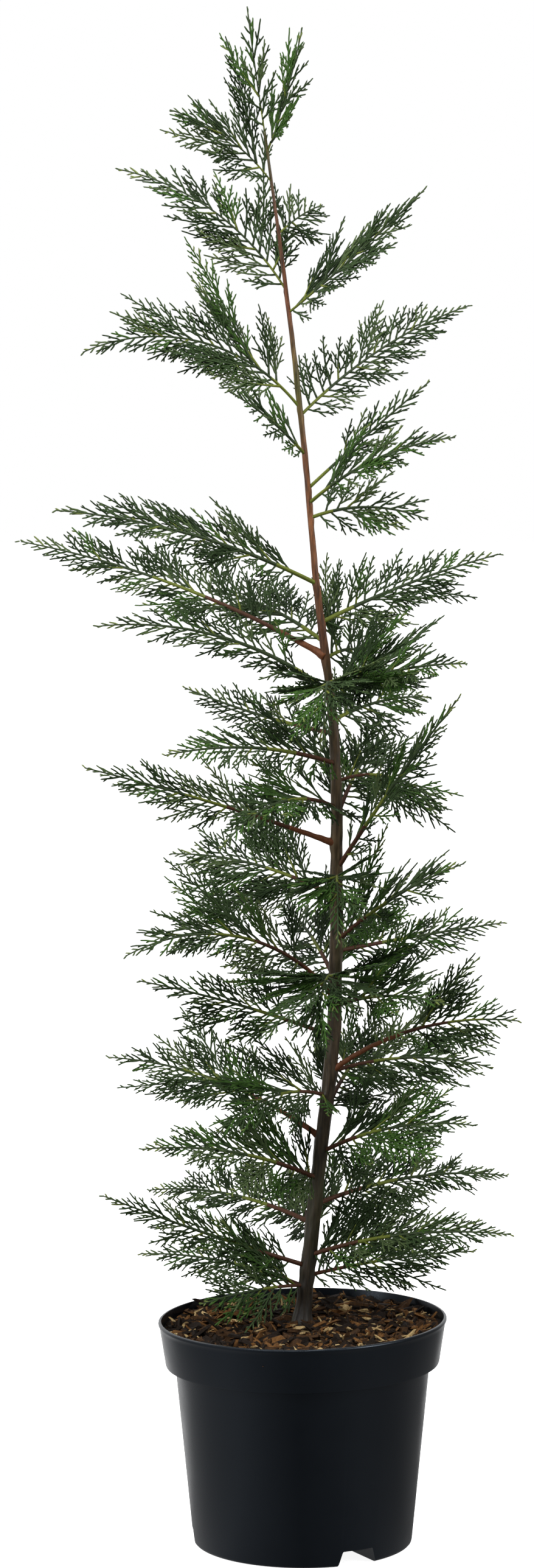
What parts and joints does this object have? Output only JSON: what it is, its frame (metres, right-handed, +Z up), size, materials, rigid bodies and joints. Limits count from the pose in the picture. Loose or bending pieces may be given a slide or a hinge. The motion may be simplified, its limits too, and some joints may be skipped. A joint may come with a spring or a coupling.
{
  "type": "leyland cypress",
  "caption": "Young leyland cypress in a round nursery pot: a slim swaying trunk, arching boughs and flat feathery sprays all round, in compost with a bark mulch.",
  "frame": {"origin": "centre of the pot's flat underside", "axes": "+Z up along the plant's height, -Y to the front that the picture shows, +X to the viewer's right"},
  "size_m": [0.441, 0.3686, 1.282],
  "materials": {
    "pot_plastic": "black moulded polypropylene, satin",
    "compost": "moist compost under brown bark chips",
    "bark": "smooth young bark, olive brown low down and red brown higher up",
    "foliage": "matt grey-green scale leaves in flat sprays, lighter at the tips"
  },
  "bodies": {
    "root": {"bough_left_10": "bark", "bough_left_11": "bark", "bough_left_5": "bark", "bough_left_8": "bark", "bough_right_12": "bark", "compost": "compost", "foliage_back_1": "foliage", "foliage_back_2": "foliage", "foliage_back_3": "foliage", "foliage_back_4": "foliage", "foliage_back_5": "foliage", "foliage_back_6": "foliage", "foliage_front_1": "foliage", "foliage_front_2": "foliage", "foliage_front_3": "foliage", "foliage_front_4": "foliage", "foliage_front_5": "foliage", "foliage_front_6": "foliage", "foliage_leader": "foliage", "foliage_left_1": "foliage", "foliage_left_10": "foliage", "foliage_left_11": "foliage", "foliage_left_12": "foliage", "foliage_left_13": "foliage", "foliage_left_14": "foliage", "foliage_left_15": "foliage", "foliage_left_16": "foliage", "foliage_left_17": "foliage", "foliage_left_18": "foliage", "foliage_left_19": "foliage", "foliage_left_2": "foliage", "foliage_left_20": "foliage", "foliage_left_3": "foliage", "foliage_left_4": "foliage", "foliage_left_5": "foliage", "foliage_left_6": "foliage", "foliage_left_7": "foliage", "foliage_left_8": "foliage", "foliage_left_9": "foliage", "foliage_right_1": "foliage", "foliage_right_10": "foliage", "foliage_right_11": "foliage", "foliage_right_12": "foliage", "foliage_right_13": "foliage", "foliage_right_14": "foliage", "foliage_right_15": "foliage", "foliage_right_16": "foliage", "foliage_right_18": "foliage", "foliage_right_19": "foliage", "foliage_right_2": "foliage", "foliage_right_3": "foliage", "foliage_right_4": "foliage", "foliage_right_5": "foliage", "foliage_right_6": "foliage", "foliage_right_7": "foliage", "foliage_right_8": "foliage", "foliage_right_9": "foliage", "foliage_top_1": "foliage", "pot": "pot_plastic", "trunk": "bark"}
  },
  "joints": []
}
